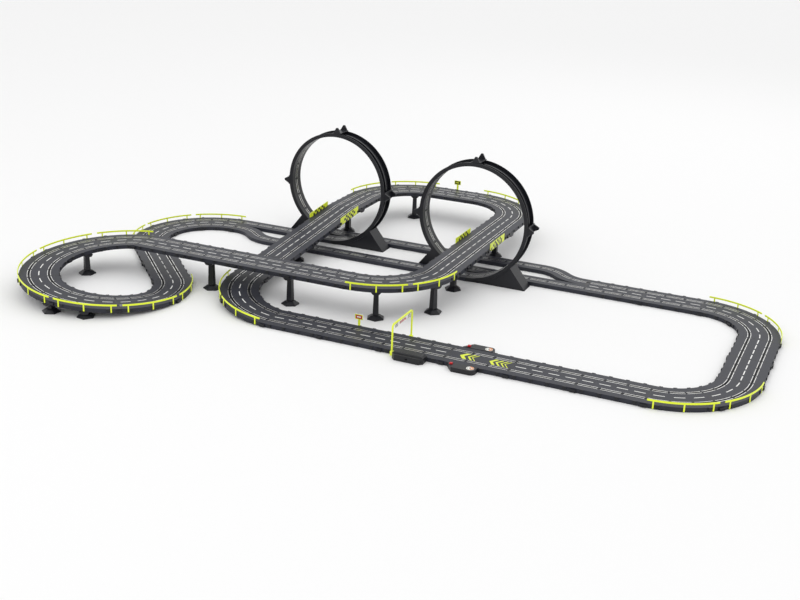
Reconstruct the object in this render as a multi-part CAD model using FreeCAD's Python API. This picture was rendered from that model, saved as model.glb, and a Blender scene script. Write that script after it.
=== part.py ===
import FreeCAD, Part
import math
import os

# Slot car track set: a two-lane circuit of clip-together plastic sections with a
# raised crossing, and two upright loops that take one lane each.
# Frame: X along the start straight, Y away from it, Z up from the floor. The set is laid from
# the left-hand end of the start straight, then moved so that the origin is on the floor under
# the middle of its overall box.

V = FreeCAD.Vector

# Driving dimensions, in mm and degrees.
straight_length = 180.0      # full straight section
short_length = 160.0         # short straight section
half_length = 90.0           # half straight section
lane_pitch = 57.5            # slot to slot, and the width that belongs to one lane
track_height = 12.0          # floor to the running surface
deck_thickness = 7.0
skirt_wall = 3.0
slot_width = 3.2
slot_depth = 5.5
curve_turn = 45.0            # one curve section
bridge_height = 85.0         # floor to the feet of the raised sections
climb_count = 6              # sections that share the climb, and again the descent
step_angle = 7.5             # a climbing curve is made of flat steps of this turn
loop_step_angle = 9.0        # and a loop of these
loop_outer_radius = 187.0    # floor side of a loop's sections
strand_gap = 8.5             # clear of a loop's own track where it passes beside it
spread_lead = 20.0           # stretch before the lanes part
fit_gap = 0.2                # between clipped pieces and the track's edge

rail_thickness = 2.4
rail_depth = 5.0
rail_top = 26.0              # above the feet of the section
rail_inset = 1.8             # degrees left free at each end of a curve
rail_post_width = 4.0
rail_post_thickness = 1.8
rail_post_shares = (0.12, 0.5, 0.88)

clip_length = 17.0
clip_width = 4.5
clip_height = 7.5
clip_lift = 1.5

foot_radius = 27.0
foot_plate = 3.0
foot_height = 11.0
foot_crown = 15.0
post_width = 17.0
post_taper = 2.0
head_height = 7.0
head_length = 30.0
head_flare = 6.0
edge_head_span = 36.0

wedge_reach = 195.0          # from the loop's middle to the toe of its support
wedge_rise = 66.0
wedge_wall = 2.5
fin_height = 16.0
fin_length = 30.0
fin_thickness = 6.0

panel_length = 130.0
panel_height = 24.0
panel_thickness = 2.0
panel_lift = 3.0

gantry_offset = 40.0         # from the start of the power section
gantry_height = 90.0
gantry_leg = 5.0
gantry_thickness = 4.0
gantry_corner = 12.0
banner_height = 12.0
banner_thickness = 2.0

sign_width = 24.0
sign_height = 15.0
sign_thickness = 2.0
sign_top = 46.0
sign_post_width = 7.0

box_offset = 50.0            # from the start of the power section
box_length = 90.0
box_depth = 34.0
box_height = 17.0
box_lid = 4.0
box_chamfer = 10.0
lid_margin = 3.0
lid_setback = 8.0
power_socket_radius = 2.75
power_socket_height = 9.0
controller_socket_radius = 1.75
controller_socket_height = 8.0
socket_depth = 12.0

counter_offset = 18.0        # from the start of the lap counter section
counter_length = 86.0
counter_reach = 30.0
counter_height = 13.0
counter_wall = 2.5
counter_slant = 22.0
dial_seat = 1.0
dial_radius = 10.5
dial_sides = 20
dial_thickness = 3.0
dial_pin_radius = 2.0
running_fit = 0.06
button_width = 8.0
button_height = 7.0
button_travel = 2.5
button_proud = 1.0           # left above the cover when pressed
button_offset = 15.0
button_setback = 9.0
lever_low = 1.2
lever_thickness = 1.6
lever_width = 5.0
lever_offset = 58.0
lever_setback = 22.0         # slot to pivot
lever_tail = 12.0            # reach inside the counter
lever_pin_radius = 1.5
feeler_width = 1.8
feeler_swing = 12.0

track_width = 2 * lane_pitch
half_track = track_width / 2
half_lane = lane_pitch / 2
cavity_top = track_height - deck_thickness
diagonal_length = 2 * straight_length
curve_radius = (straight_length - short_length) / math.sqrt(2) + diagonal_length / 2
climb_step = bridge_height / climb_count
strand_shift = lane_pitch + strand_gap
up = V(0, 0, 1)
origin = V(0, 0, 0)
nodes = {}
sections = []


def add(node, shape):
    nodes.setdefault(node, []).append(shape)


def block(x0, x1, y0, y1, z0, z1):
    return Part.makeBox(x1 - x0, y1 - y0, z1 - z0, V(x0, y0, z0))


def outline(points):
    return Part.makePolygon(points + [points[0]])


def prism(points, direction):
    return Part.Face(outline(points)).extrude(direction)


def skin(rings):
    """A solid through rings of corners, with one flat face to a side, or two where it twists."""
    faces = [Part.Face(outline(rings[0])), Part.Face(outline(rings[-1]))]
    for near, far in zip(rings, rings[1:]):
        for index in range(len(near)):
            after = (index + 1) % len(near)
            a, b, c, d = near[index], near[after], far[after], far[index]
            if abs((b - a).cross(c - a).normalize().dot(d - a)) < 1e-6:
                faces.append(Part.Face(outline([a, b, c, d])))
            else:
                faces.append(Part.Face(outline([a, b, c])))
                faces.append(Part.Face(outline([a, c, d])))
    return Part.Solid(Part.Shell(faces))


# ---- track sections ----

def track_profile(lanes, hollow):
    """Across (left is positive) and up, for the lanes given by the offset of their slots."""
    left = max(lanes) + half_lane
    right = min(lanes) - half_lane
    floor = track_height - slot_depth
    top = [(right, track_height)]
    for lane in sorted(lanes):
        top.append((lane - slot_width / 2, track_height))
        top.append((lane - slot_width / 2, floor))
        top.append((lane + slot_width / 2, floor))
        top.append((lane + slot_width / 2, track_height))
    top.append((left, track_height))
    under = [(left, 0), (right, 0)]
    if hollow:
        under = [(left, 0), (left - skirt_wall, 0), (left - skirt_wall, cavity_top),
                 (right + skirt_wall, cavity_top), (right + skirt_wall, 0), (right, 0)]
    return top + under


two_lanes = track_profile([-half_lane, half_lane], True)
two_curved_lanes = track_profile([-half_lane, half_lane], False)
one_lane = track_profile([0.0], True)
one_looped_lane = track_profile([0.0], False)


def straight_solid(profile, length, rise=0.0):
    return prism([V(0, across, height) for across, height in profile], V(length, 0, rise))


def curve_solid(profile, turn, rise=0.0, inset=0.0):
    """A curve that starts at the origin along +X; a positive turn bends to the left."""
    side = math.copysign(1, turn)

    def ring(angle):
        corners = []
        for across, height in profile:
            radius = curve_radius - side * across
            bend = math.radians(angle)
            corners.append(V(radius * math.sin(bend), side * (curve_radius - radius * math.cos(bend)),
                             height + rise * angle / abs(turn)))
        return corners

    angle = abs(turn) - 2 * inset
    if rise == 0:
        return Part.Face(outline(ring(inset))).revolve(V(0, side * curve_radius, 0), V(0, 0, side), angle)
    steps = math.ceil(angle / step_angle)
    return skin([ring(inset + angle * step / steps) for step in range(steps + 1)])


def spot(section, share, across=0.0):
    """The place and heading of a point on a laid section, at a share of its length."""
    turn = section["turn"]
    if turn:
        side = math.copysign(1, turn)
        angle = math.radians(abs(turn) * share)
        radius = curve_radius - side * across
        ahead = radius * math.sin(angle)
        left = side * (curve_radius - radius * math.cos(angle))
    else:
        ahead = section["length"] * share
        left = across
    heading = math.radians(section["heading"])
    x = section["x"] + ahead * math.cos(heading) - left * math.sin(heading)
    y = section["y"] + ahead * math.sin(heading) + left * math.cos(heading)
    z = section["z"] + section["rise"] * share
    return {"x": x, "y": y, "z": z, "heading": section["heading"] + turn * share}


def put(shape, place):
    shape.rotate(origin, up, place["heading"])
    shape.translate(V(place["x"], place["y"], place["z"]))
    return shape


def lay(pen, node, length=0.0, turn=0.0, rise=0.0):
    """Lay one two-lane section at the pen, move the pen to its far end and return it."""
    section = dict(pen, length=length, turn=turn, rise=rise)
    if node:
        if turn:
            solid = curve_solid(two_curved_lanes, turn, rise)
        else:
            solid = straight_solid(two_lanes, length, rise)
        add(node, put(solid, section))
    sections.append(section)
    pen.update(spot(section, 1.0))
    return section


def lay_curves(pen, node, count, side, rises=None):
    rises = rises or [0.0] * count
    return [lay(pen, node, turn=side * curve_turn, rise=rise) for rise in rises]


pen = {"x": 0.0, "y": 0.0, "z": 0.0, "heading": 0.0}
start_straight = []
for node in ["start_straight_sections", "start_straight_sections", None, None,
             "start_straight_sections", "start_straight_sections"]:
    start_straight.append(lay(pen, node, length=straight_length))
power_place = start_straight[2]
counter_place = start_straight[3]
ground_curves = lay_curves(pen, "ground_curve_sections", 2, 1)
for count in range(2):
    lay(pen, "side_straight_sections", length=short_length)
ground_curves += lay_curves(pen, "ground_curve_sections", 2, 1)
for count in range(2):
    lay(pen, "back_straight_sections", length=straight_length)
merge_place = dict(pen)
split_place = dict(pen, x=pen["x"] - 7 * straight_length, heading=0.0)
pen["x"] = split_place["x"]
ground_curves += lay_curves(pen, "ground_curve_sections", 3, 1)
for count in range(2):
    lay(pen, "diagonal_sections", length=straight_length)
spiral = lay_curves(pen, "raised_curve_sections", 7, -1, [0.0] + [climb_step] * climb_count)
bridge = [lay(pen, "bridge_straight_sections", length=straight_length) for count in range(4)]
bridge_curves = lay_curves(pen, "raised_curve_sections", 2, 1)
bridge_side = [lay(pen, "bridge_side_sections", length=length)
               for length in [half_length] + [straight_length] * 3]
bridge_curves += lay_curves(pen, "raised_curve_sections", 2, 1)
bridge_back = lay(pen, "bridge_back_section", length=short_length)
bridge_curves += lay_curves(pen, "raised_curve_sections", 2, 1)
ramp_step = (pen["y"] - curve_radius) / (climb_count - 1)
ramp = [lay(pen, "ramp_sections", length=ramp_step, rise=rise)
        for rise in [0.0] + [-climb_step] * (climb_count - 2)]
ramp_curves = lay_curves(pen, "raised_curve_sections", 2, 1, [-climb_step] * 2)
print("closing error, mm:", round(math.hypot(pen["x"], pen["y"]) + abs(pen["z"]), 6))


# ---- single-lane strands and the two upright loops ----

def spread_section():
    """Where the lanes part: one runs on straight, the other bends out by strand_shift."""
    bend_length = straight_length - spread_lead
    bend = 2 * math.atan(strand_shift / bend_length)
    radius = bend_length / (2 * math.sin(bend))
    angle = math.degrees(bend)

    def bending(points):
        # A short lead, then two equal arcs, first to the right and back to the left.
        first = [V(spread_lead, across - half_lane, height) for across, height in points]
        middle = V(spread_lead, -half_lane - radius, 0)
        arc = Part.Face(outline(first)).revolve(middle, V(0, 0, -1), angle)
        lead = Part.Face(outline(first)).extrude(V(-spread_lead, 0, 0))
        last = [V(straight_length, across - half_lane - strand_shift, height) for across, height in points]
        centre = V(straight_length, radius - half_lane - strand_shift, 0)
        return lead.fuse([arc, Part.Face(outline(last)).revolve(centre, V(0, 0, -1), angle)])

    def running(points):
        return prism([V(0, across + half_lane, height) for across, height in points],
                     V(straight_length, 0, 0))

    def slab(width, low, high):
        return [(-width / 2, low), (width / 2, low), (width / 2, high), (-width / 2, high)]

    shell = slab(lane_pitch, 0, track_height)
    cavity = slab(lane_pitch - 2 * skirt_wall, 0, cavity_top)
    slot = slab(slot_width, track_height - slot_depth, track_height)
    solid = running(shell).fuse(bending(shell))
    for cutter in [running(cavity), running(slot), bending(slot)]:
        solid = solid.cut(cutter)
    return solid.removeSplitter()


back_y = merge_place["y"]
for place in [merge_place, split_place]:
    add("lane_spread_sections", put(spread_section(), place))

first_loop = {"x": -straight_length, "y": back_y + half_lane}
second_loop = {"x": 2 * straight_length, "y": back_y - half_lane - strand_shift}


def strand(x, y, count):
    for index in range(count):
        solid = straight_solid(one_lane, straight_length)
        solid.translate(V(x + index * straight_length, y, 0))
        add("single_lane_sections", solid)


split_x = split_place["x"] + straight_length
strand(split_x, first_loop["y"], 1)
strand(first_loop["x"], first_loop["y"] + strand_shift, 4)
strand(split_x, second_loop["y"], 4)
strand(second_loop["x"], second_loop["y"] + strand_shift, 1)


def loop_sections(loop):
    """Four quarters that together shift the lane sideways by strand_shift."""
    def ring(angle):
        bend = math.radians(angle)
        corners = []
        for across, height in one_looped_lane:
            radius = loop_outer_radius - height
            corners.append(V(loop["x"] + radius * math.sin(bend),
                             loop["y"] + across + strand_shift * angle / 360,
                             loop_outer_radius - radius * math.cos(bend)))
        return corners

    steps = round(90 / loop_step_angle)
    for quarter in range(4):
        add("loop_sections", skin([ring(90 * quarter + 90 * step / steps) for step in range(steps + 1)]))


def arc_through(radius, start, end):
    """An arc about the loop's middle in the XZ plane; angles run from straight down."""
    points = []
    for angle in [start, (start + end) / 2, end]:
        points.append(V(radius * math.sin(angle), 0, loop_outer_radius - radius * math.cos(angle)))
    return Part.Arc(points[0], points[1], points[2]).toShape(), points[0], points[2]


def loop_wedge(loop, side):
    """The hollow support under a loop's first or last stretch; side is +1 or -1 in X."""
    bearing = loop_outer_radius + fit_gap
    start = math.acos((loop_outer_radius - wedge_wall / 2) / bearing)
    end = math.acos((loop_outer_radius - wedge_rise) / bearing)
    arc, toe, crest = arc_through(bearing, start, end)
    heel = V(wedge_reach, 0, 0)
    corner = V(toe.x, 0, 0)
    face = Part.Face(Part.Wire([arc, Part.makeLine(crest, heel), Part.makeLine(heel, corner),
                                Part.makeLine(corner, toe)]))
    width = lane_pitch - 2 * fit_gap
    solid = face.extrude(V(0, width, 0))
    inner = bearing + wedge_wall
    inner_start = math.acos((loop_outer_radius - 2 * wedge_wall) / inner)
    inner_end = math.acos((loop_outer_radius - wedge_rise + 3 * wedge_wall) / inner)
    arc, toe, crest = arc_through(inner, inner_start, inner_end)
    heel = V(wedge_reach - 1.5 * wedge_wall, 0, 0)
    corner = V(toe.x, 0, 0)
    hollow = Part.Face(Part.Wire([arc, Part.makeLine(crest, heel), Part.makeLine(heel, corner),
                                  Part.makeLine(corner, toe)]))
    hollow = hollow.extrude(V(0, width - 2 * wedge_wall, 0))
    hollow.translate(V(0, wedge_wall, 0))
    solid = solid.cut(hollow)
    solid.translate(V(0, -width / 2, 0))
    drift = strand_shift * end / (4 * math.pi)
    if side < 0:
        solid.rotate(origin, up, 180)
    y = loop["y"] + (drift if side > 0 else strand_shift - drift)
    solid.translate(V(loop["x"], y, 0))
    return solid


def loop_fins(loop):
    """Joiners with two upright fins, on the outside of the loop's three raised joints."""
    seat = loop_outer_radius + fit_gap
    half = half_lane
    for quarter in [1, 2, 3]:
        joiner = block(-fin_length / 2, fin_length / 2, -half, half, -seat - skirt_wall, -seat)
        for edge in [-half, half - fin_thickness]:
            top = -seat - skirt_wall - fin_height
            fin = prism([V(-fin_length / 2 + 2, edge, -seat - 1), V(fin_length / 2 - 2, edge, -seat - 1),
                         V(3, edge, top), V(-3, edge, top)], V(0, fin_thickness, 0))
            joiner = joiner.fuse(fin)
        joiner.rotate(origin, V(0, -1, 0), 90 * quarter)
        joiner.translate(V(loop["x"], loop["y"] + strand_shift * quarter / 4, loop_outer_radius))
        add("loop_joiners", joiner)


for loop in [first_loop, second_loop]:
    loop_sections(loop)
    loop_fins(loop)
    for side in [-1, 1]:
        add("loop_supports", loop_wedge(loop, side))


# ---- guard rails, side panels and joint clips ----

def guard_rail(section):
    side = math.copysign(1, section["turn"])
    near = half_track + fit_gap
    far = near + rail_thickness
    low = rail_top - rail_depth
    profile = [(-side * near, low), (-side * far, low), (-side * far, rail_top), (-side * near, rail_top)]
    rail = put(curve_solid(profile, section["turn"], section["rise"], rail_inset), section)
    skin = (rail_thickness - rail_post_thickness) / 2
    for share in rail_post_shares:
        width = sorted([-side * (near + skin), -side * (far - skin)])
        post = block(-rail_post_width / 2, rail_post_width / 2, width[0], width[1],
                     clip_lift, low + rail_depth / 2)
        rail = rail.fuse(put(post, spot(section, share)))
    return rail


for section in ground_curves:
    add("ground_guard_rails", guard_rail(section))
for section in spiral + bridge_curves + ramp_curves:
    add("raised_guard_rails", guard_rail(section))


def side_panel(section, middle, side):
    """A flag panel hooked over the edge of a section; side is +1 on the left."""
    near = half_track + fit_gap
    width = sorted([side * near, side * (near + panel_thickness)])
    slope = section["rise"] / section["length"]
    low = panel_lift - panel_length / 2 * slope
    start = V(-panel_length / 2, width[0], low)
    step = V(panel_length, 0, panel_length * slope)
    rise = V(0, 0, panel_height)
    plate = prism([start, start + step, start + step + rise, start + rise],
                  V(0, width[1] - width[0], 0))
    return put(plate, spot(section, middle))


for side in [-1, 1]:
    add("bridge_side_panels", side_panel(bridge_side[2], 0.42, side))
    add("ramp_side_panels", side_panel(ramp[1], 0.5, side))


def joint_clip(before, after, side):
    """A lump beside a joint, whose inner face gives way where the edge bends towards it."""
    near = half_track + fit_gap
    far = near + clip_width
    half = clip_length / 2
    give = half * math.tan(math.radians(step_angle / 2))
    gives = [give if section["turn"] * side > 0 else 0.0 for section in (before, after)]
    plan = [(-half, near + gives[0]), (half, near + gives[1]), (half, far), (-half, far)]
    if any(gives):
        plan.insert(1, (0.0, near))
    lump = prism([V(along, side * across, clip_lift) for along, across in plan], V(0, 0, clip_height))
    return put(lump, spot(after, 0.0))


for before, after in zip([sections[-1]] + sections[:-1], sections):
    for side in [-1, 1]:
        add("joint_clips", joint_clip(before, after, side))


# ---- piers ----

def ring_of_corners(sides, radius, height):
    corners = []
    for index in range(sides):
        angle = 2 * math.pi * (index + 0.5) / sides
        corners.append(V(radius * math.cos(angle), radius * math.sin(angle), height))
    return corners


def tapered(sides, levels):
    """A solid with flat tapering sides, through (corner radius, height) levels from the bottom up."""
    return skin([ring_of_corners(sides, radius, height) for radius, height in levels])


def pier(section, share, across, span):
    """Foot, post and head under a raised section; span is the head's width across the track."""
    place = spot(section, share, across)
    side = math.copysign(1, section["turn"])
    inner_edge = curve_radius - side * across - span / 2
    length = section["length"] or inner_edge * math.radians(abs(section["turn"]))
    slope = abs(section["rise"]) / length
    top = place["z"] - fit_gap - slope * head_length / 2
    place["z"] = 0.0
    foot = tapered(6, [(foot_radius, 0), (foot_radius, foot_plate), (foot_crown, foot_height)])
    add("pier_feet", put(foot, place))
    post_top = top - head_height
    if post_top - foot_height > post_taper:
        corner = post_width / math.sqrt(2)
        post = tapered(4, [(corner, foot_height), (corner - post_taper, post_top)])
        add("pier_posts", put(post, place))
        low = post_top
    else:
        low = foot_height
    half = head_length / 2
    inner = half - head_flare
    head = prism([V(-inner, -span / 2, low), V(inner, -span / 2, low), V(half, -span / 2, top),
                  V(-half, -span / 2, top)], V(0, span, 0))
    add("pier_heads", put(head, place))


edge = half_track - edge_head_span / 2
pier(spiral[2], 0.5, edge, edge_head_span)
pier(spiral[3], 0.1, edge, edge_head_span)
pier(spiral[5], 0.67, -edge, edge_head_span)
pier(bridge[1], 0.5, -edge, edge_head_span)
pier(bridge[3], 0.0, -edge, edge_head_span)
pier(bridge_curves[0], 0.5, -edge, edge_head_span)
pier(bridge_curves[1], 0.5, -edge, edge_head_span)
pier(bridge_side[1], 0.18, 0, track_width)
pier(bridge_side[3], 0.27, 0, track_width)
pier(bridge_curves[4], 0.5, edge, edge_head_span)
pier(ramp[0], 0.82, 0, track_width)
pier(ramp[3], 0.13, 0, track_width)


# ---- power section with its terminal box ----

power_x = power_place["x"]
box_x = power_x + box_offset
box_y = -half_track - fit_gap


def terminal_box():
    """A box clipped to the near edge, with its front corners cut for the drivers' plugs."""
    shape = block(box_x, box_x + box_length, box_y - box_depth, box_y, 0, box_height)
    corners = [e for e in shape.Edges
               if abs(e.Vertexes[0].Y - box_y + box_depth) < 1e-6
               and abs(e.Vertexes[1].Y - box_y + box_depth) < 1e-6
               and abs(e.Vertexes[0].Z - e.Vertexes[1].Z) > 1]
    shape = shape.makeChamfer(box_chamfer, corners)
    return shape


terminal = terminal_box()
power_mouth = V(box_x + box_length / 2, box_y - box_depth, power_socket_height)
terminal = terminal.cut(Part.makeCylinder(power_socket_radius, socket_depth, power_mouth, V(0, 1, 0)))
for corner_x, inward in [(box_x, 1), (box_x + box_length, -1)]:
    mouth_x = corner_x + inward * box_chamfer / 2
    mouth_y = box_y - box_depth + box_chamfer / 2
    mouth = V(mouth_x, mouth_y, controller_socket_height)
    bore = Part.makeCylinder(controller_socket_radius, socket_depth, mouth, V(inward, 1, 0))
    terminal = terminal.cut(bore)
add("terminal_box", terminal)
lid = block(box_x + lid_margin, box_x + box_length - lid_margin, box_y - box_depth + lid_setback, box_y,
            box_height, box_height + box_lid)
lid = lid.makeChamfer(box_lid - 1, [e for e in lid.Edges
                                    if abs(e.Vertexes[0].Z - box_height - box_lid) < 1e-6
                                    and abs(e.Vertexes[1].Z - box_height - box_lid) < 1e-6
                                    and e.CenterOfMass.y < box_y - 1])
add("terminal_lid", lid)
add("power_section", put(straight_solid(two_lanes, straight_length), power_place))


# ---- lap counters ----

counter_x = counter_place["x"] + counter_offset
counter_y = half_track + fit_gap
counter_end = counter_y + counter_reach
dial_x = counter_x + counter_length - counter_reach / 2 - 1.0
dial_y = counter_end - counter_reach / 2 - 1.0
dial_low = counter_height - counter_wall + 0.2
button_x = counter_x + button_offset
button_y = counter_y + button_setback
button_low = counter_height + button_travel + button_proud - button_height
lever_x = counter_x + lever_offset
lever_y = half_lane + lever_setback
lever_high = lever_low + lever_thickness


def mirrored(shape, side):
    """Pieces are drawn on the far edge; side -1 puts them on the near edge."""
    return shape if side > 0 else shape.mirror(origin, V(0, 1, 0))


def centred(x, y, low, high, width, depth):
    return block(x - width / 2, x + width / 2, y - depth / 2, y + depth / 2, low, high)


def counter_section():
    """The straight with a slit in each slot, a window in each side and two lever pivots."""
    section = straight_solid(two_lanes, straight_length)
    section.translate(V(counter_place["x"], 0, 0))
    for side in [-1, 1]:
        slit = centred(lever_x, half_lane, cavity_top - 1, track_height, feeler_swing, slot_width)
        window = centred(lever_x, half_track, -1, lever_high + 0.6, 3 * lever_width, 4 * skirt_wall)
        pivot = Part.makeCylinder(lever_pin_radius, cavity_top, V(lever_x, lever_y, lever_low - 0.6))
        section = section.cut(mirrored(slit, side)).cut(mirrored(window, side))
        section = section.fuse(mirrored(pivot, side))
    return section


def counter_plan(margin):
    """Plan of a counter: one end slanted, the other rounded about the dial."""
    left = counter_x + margin
    right = counter_x + counter_length - margin
    reach = counter_end - margin
    radius = counter_reach / 2 - margin
    bend = radius * math.sqrt(0.5)
    a = V(left, counter_y, 0)
    b = V(left + counter_slant, reach, 0)
    c = V(right - radius, reach, 0)
    d = V(right, reach - radius, 0)
    e = V(right, counter_y, 0)
    middle = V(right - radius + bend, reach - radius + bend, 0)
    return Part.Face(Part.Wire([Part.makeLine(a, b), Part.makeLine(b, c), Part.Arc(c, middle, d).toShape(),
                                Part.makeLine(d, e), Part.makeLine(e, a)]))


def counter_housing():
    """A cover that is open below and towards the track, with a dial pin and a button hole."""
    shell = counter_plan(0).extrude(V(0, 0, counter_height))
    hollow = counter_plan(counter_wall).extrude(V(0, 0, counter_height - counter_wall - dial_seat))
    pin = Part.makeCylinder(dial_pin_radius, dial_thickness + 1.2, V(dial_x, dial_y, dial_low - 0.8))
    rim = ring_of_corners(dial_sides, dial_radius + 0.6, dial_low - 0.2)
    well = prism([corner + V(dial_x, dial_y, 0) for corner in rim], V(0, 0, counter_height))
    hole = centred(button_x, button_y, 0, counter_height + 1, button_width + 0.8, button_width + 0.8)
    return shell.cut(hollow).cut(well).cut(hole).fuse(pin)


def lap_dial():
    """A wheel with flats round its rim, and a pointer on top."""
    rim = ring_of_corners(dial_sides, dial_radius, dial_low)
    wheel = prism([corner + V(dial_x, dial_y, 0) for corner in rim], V(0, 0, dial_thickness))
    top = dial_low + dial_thickness
    pointer = prism([V(dial_x + 4, dial_y - 1.5, top - 1), V(dial_x + 9, dial_y, top - 1),
                     V(dial_x + 4, dial_y + 1.5, top - 1)], V(0, 0, 2.0))
    bore = Part.makeCylinder(dial_pin_radius + running_fit, counter_height, V(dial_x, dial_y, dial_low - 1))
    return wheel.fuse(pointer).cut(bore)


def trip_lever():
    """A flat lever under the deck: a feeler in the slot at one end, the counter at the other."""
    head = half_lane - feeler_width / 2
    bar = block(lever_x - lever_width / 2, lever_x + lever_width / 2, head, counter_y + lever_tail,
                lever_low, lever_high)
    feeler = centred(lever_x, half_lane, lever_low, track_height - 1.0, feeler_width, feeler_width)
    hole = Part.makeCylinder(lever_pin_radius + running_fit, track_height, V(lever_x, lever_y, 0))
    return bar.fuse(feeler).cut(hole)


for name, side in [("near", -1), ("far", 1)]:
    add("lap_counter_housings", mirrored(counter_housing(), side))
    add(name + "_lap_dial", mirrored(lap_dial(), side))
    button = centred(button_x, button_y, button_low, button_low + button_height, button_width, button_width)
    add(name + "_reset_button", mirrored(button, side))
    add(name + "_trip_lever", mirrored(trip_lever(), side))
add("lap_counter_section", counter_section())


# ---- gantry and signs ----

def rounded_gate(width, height, radius, x):
    half = width / 2
    slant = radius * (1 - math.sqrt(0.5))
    points = [V(x, -half, 0), V(x, -half, height - radius), V(x, -half + radius, height),
              V(x, half - radius, height), V(x, half, height - radius), V(x, half, 0)]
    left = Part.Arc(points[1], V(x, -half + slant, height - slant), points[2]).toShape()
    right = Part.Arc(points[3], V(x, half - slant, height - slant), points[4]).toShape()
    return Part.Face(Part.Wire([Part.makeLine(points[0], points[1]), left,
                                Part.makeLine(points[2], points[3]), right,
                                Part.makeLine(points[4], points[5]), Part.makeLine(points[5], points[0])]))


gantry_x = power_x + gantry_offset
gate_inner = track_width + 2 * (clip_width + fit_gap + 0.3)
inner_height = gantry_height - gantry_leg
gate = rounded_gate(gate_inner + 2 * gantry_leg, gantry_height, gantry_corner, gantry_x)
window = rounded_gate(gate_inner, inner_height, gantry_corner - gantry_leg, gantry_x - 1)
frame = gate.extrude(V(gantry_thickness, 0, 0)).cut(window.extrude(V(gantry_thickness + 2, 0, 0)))
for side in [-1, 1]:
    reach = sorted([side * (half_track + fit_gap), side * (gate_inner / 2 + gantry_leg)])
    foot = block(gantry_x - 3, gantry_x + gantry_thickness + 3, reach[0], reach[1], 0, track_height)
    frame = frame.fuse(foot)
add("gantry_frame", frame.removeSplitter())
banner_half = gate_inner / 2 - gantry_corner
add("gantry_banner", block(gantry_x + 1, gantry_x + 1 + banner_thickness, -banner_half, banner_half,
                           inner_height - banner_height, inner_height))


def sign(name, place, side):
    """A small board on a post clipped to the edge of a section; side is +1 on its left."""
    near = half_track + fit_gap
    width = sign_post_width / 2
    plate_low = sign_top - sign_height
    post = block(-width, width, near, near + sign_thickness, clip_lift, plate_low + 4)
    add(name + "_post", put(mirrored(post, side), place))
    plate = block(-sign_width / 2, sign_width / 2, near - sign_thickness, near, plate_low, sign_top)
    add(name + "_board", put(mirrored(plate, side), place))


sign("start_sign", spot(start_straight[1], 0.36), 1)
sign("bridge_sign", spot(bridge_back, 0.6), -1)


everything = Part.makeCompound([shape for shapes in nodes.values() for shape in shapes])
extent = everything.optimalBoundingBox(False)
centring = V(-extent.Center.x, -extent.Center.y, -extent.ZMin)
print("moved by, mm:", [round(value, 3) for value in centring])

os.makedirs("parts", exist_ok=True)
for name, shapes in nodes.items():
    solids = [solid for shape in shapes for solid in shape.Solids]
    whole = solids[0] if len(solids) == 1 else Part.makeCompound(solids)
    whole.translate(centring)
    whole.exportStep("parts/" + name + ".step")
print(len(nodes), "nodes")
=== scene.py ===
import bmesh
import bpy
import math
from mathutils import Matrix, Vector


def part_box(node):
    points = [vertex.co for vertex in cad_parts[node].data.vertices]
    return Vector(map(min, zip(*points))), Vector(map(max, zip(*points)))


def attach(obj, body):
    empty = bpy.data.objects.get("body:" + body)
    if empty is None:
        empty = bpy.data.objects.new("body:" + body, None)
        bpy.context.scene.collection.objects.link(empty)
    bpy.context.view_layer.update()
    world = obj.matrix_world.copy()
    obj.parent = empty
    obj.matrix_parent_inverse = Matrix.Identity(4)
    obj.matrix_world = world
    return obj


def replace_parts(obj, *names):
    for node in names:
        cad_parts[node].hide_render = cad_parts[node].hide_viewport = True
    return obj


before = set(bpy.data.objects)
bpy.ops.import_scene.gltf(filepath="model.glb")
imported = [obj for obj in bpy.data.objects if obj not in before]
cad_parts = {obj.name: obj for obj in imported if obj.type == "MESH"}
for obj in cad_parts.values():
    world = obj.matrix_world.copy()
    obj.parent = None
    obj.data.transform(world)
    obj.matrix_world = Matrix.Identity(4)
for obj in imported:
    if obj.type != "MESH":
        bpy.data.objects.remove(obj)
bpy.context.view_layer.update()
print("frame loaded:", len(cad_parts), "nodes")

up = Vector((0, 0, 1))


# colours and nodes

def hexColour(code):
    channels = [int(code[i:i + 2], 16) / 255 for i in (1, 3, 5)]
    return [c / 12.92 if c <= 0.04045 else ((c + 0.055) / 1.055) ** 2.4 for c in channels] + [1.0]


def addNode(tree, kind, settings=None, values=None, links=None):
    node = tree.nodes.new(kind)
    for name, value in (settings or {}).items():
        setattr(node, name, value)
    for socket, value in (values or {}).items():
        node.inputs[socket].default_value = value
    for socket, source in (links or {}).items():
        tree.links.new(source, node.inputs[socket])
    return node


def emptyMaterial(name):
    material = bpy.data.materials.new(name)
    material.use_nodes = True
    material.node_tree.nodes.clear()
    return material, material.node_tree


def perMm(size):
    return 1000 / size  # texture scale for a feature of that many millimetres


grainDepth = 0.0001  # of a spark-eroded mould


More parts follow.
